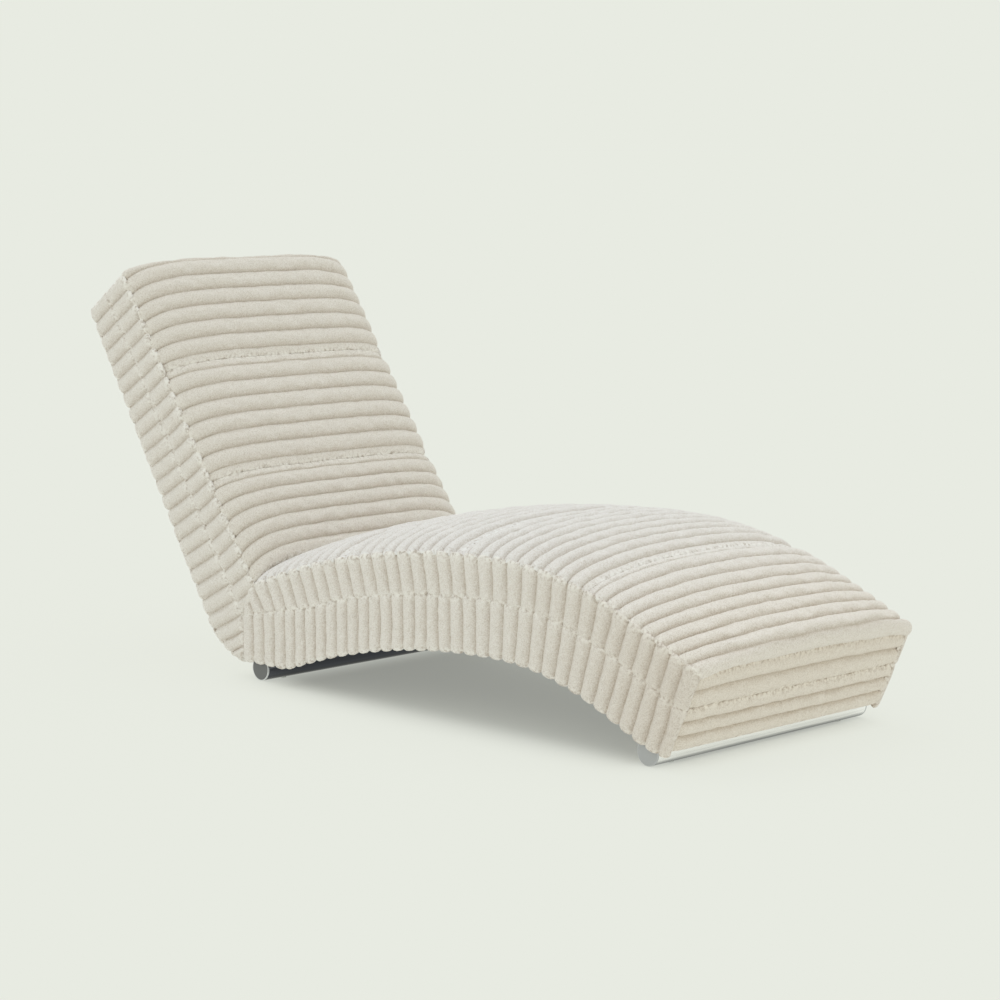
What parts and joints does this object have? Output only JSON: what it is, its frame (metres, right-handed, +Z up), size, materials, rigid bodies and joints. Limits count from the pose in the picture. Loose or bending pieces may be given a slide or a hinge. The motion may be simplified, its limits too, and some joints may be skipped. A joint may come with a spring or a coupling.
{
  "type": "spa relaxation lounger",
  "caption": "Fixed spa lounger in cream plush corduroy: a raked flat back meets a crowned, arched seat falling to the foot end, on two steel cross tubes.",
  "frame": {"origin": "on the floor, under the middle of the lounger's overall length and width", "axes": "+X along the length towards the foot end, +Y to the left of a person lying in it, +Z up"},
  "size_m": [1.7639, 0.626, 0.8446],
  "materials": {
    "plush": "cream plush corduroy pile",
    "foam": "cut open-cell foam",
    "wadding": "white fibre wadding",
    "webbing": "woven elastic webbing",
    "lining": "black felted lining cloth",
    "plywood": "raw birch plywood",
    "timber": "planed pine",
    "tube": "satin",
    "cap": "satin grey",
    "glide": "matt black",
    "fastener": "zinc plated"
  },
  "bodies": {
    "root": {"back_cover_head": "plush", "back_cover_lumbar": "plush", "back_cover_middle": "plush", "back_foam": "foam", "back_front_band_left": "plush", "back_front_band_right": "plush", "back_joint_rail": "timber", "back_rear_band_left": "plush", "back_rear_band_right": "plush", "back_side_frame_left": "plywood", "back_side_frame_right": "plywood", "back_side_pad_left": "wadding", "back_side_pad_right": "wadding", "back_webbing": "webbing", "corner_blocks": "timber", "floor_glides": "glide", "foot_end_cover_lower": "plush", "foot_end_cover_upper": "plush", "foot_end_rail": "timber", "foot_end_wadding": "wadding", "front_foot_rail": "timber", "front_foot_tube": "tube", "head_end_cover": "plush", "head_end_wadding": "wadding", "head_rail": "timber", "joint_bolts": "fastener", "joint_gusset_left": "plywood", "joint_gusset_right": "plywood", "joint_nuts": "fastener", "lumbar_rail": "timber", "rear_cover_lower": "plush", "rear_cover_upper": "plush", "rear_foot_rail": "timber", "rear_foot_tube": "tube", "rear_wadding": "wadding", "seat_cover_front": "plush", "seat_cover_middle_front": "plush", "seat_cover_middle_rear": "plush", "seat_cover_rear": "plush", "seat_foam": "foam", "seat_front_rail": "timber", "seat_joint_rail": "timber", "seat_lower_band_left": "plush", "seat_lower_band_right": "plush", "seat_middle_rail": "timber", "seat_rear_rail": "timber", "seat_side_frame_left": "plywood", "seat_side_frame_right": "plywood", "seat_side_pad_left": "wadding", "seat_side_pad_right": "wadding", "seat_upper_band_left": "plush", "seat_upper_band_right": "plush", "seat_webbing": "webbing", "shoulder_rail": "timber", "tube_bolts": "fastener", "tube_end_caps": "cap", "underside_lining": "lining"}
  },
  "joints": []
}
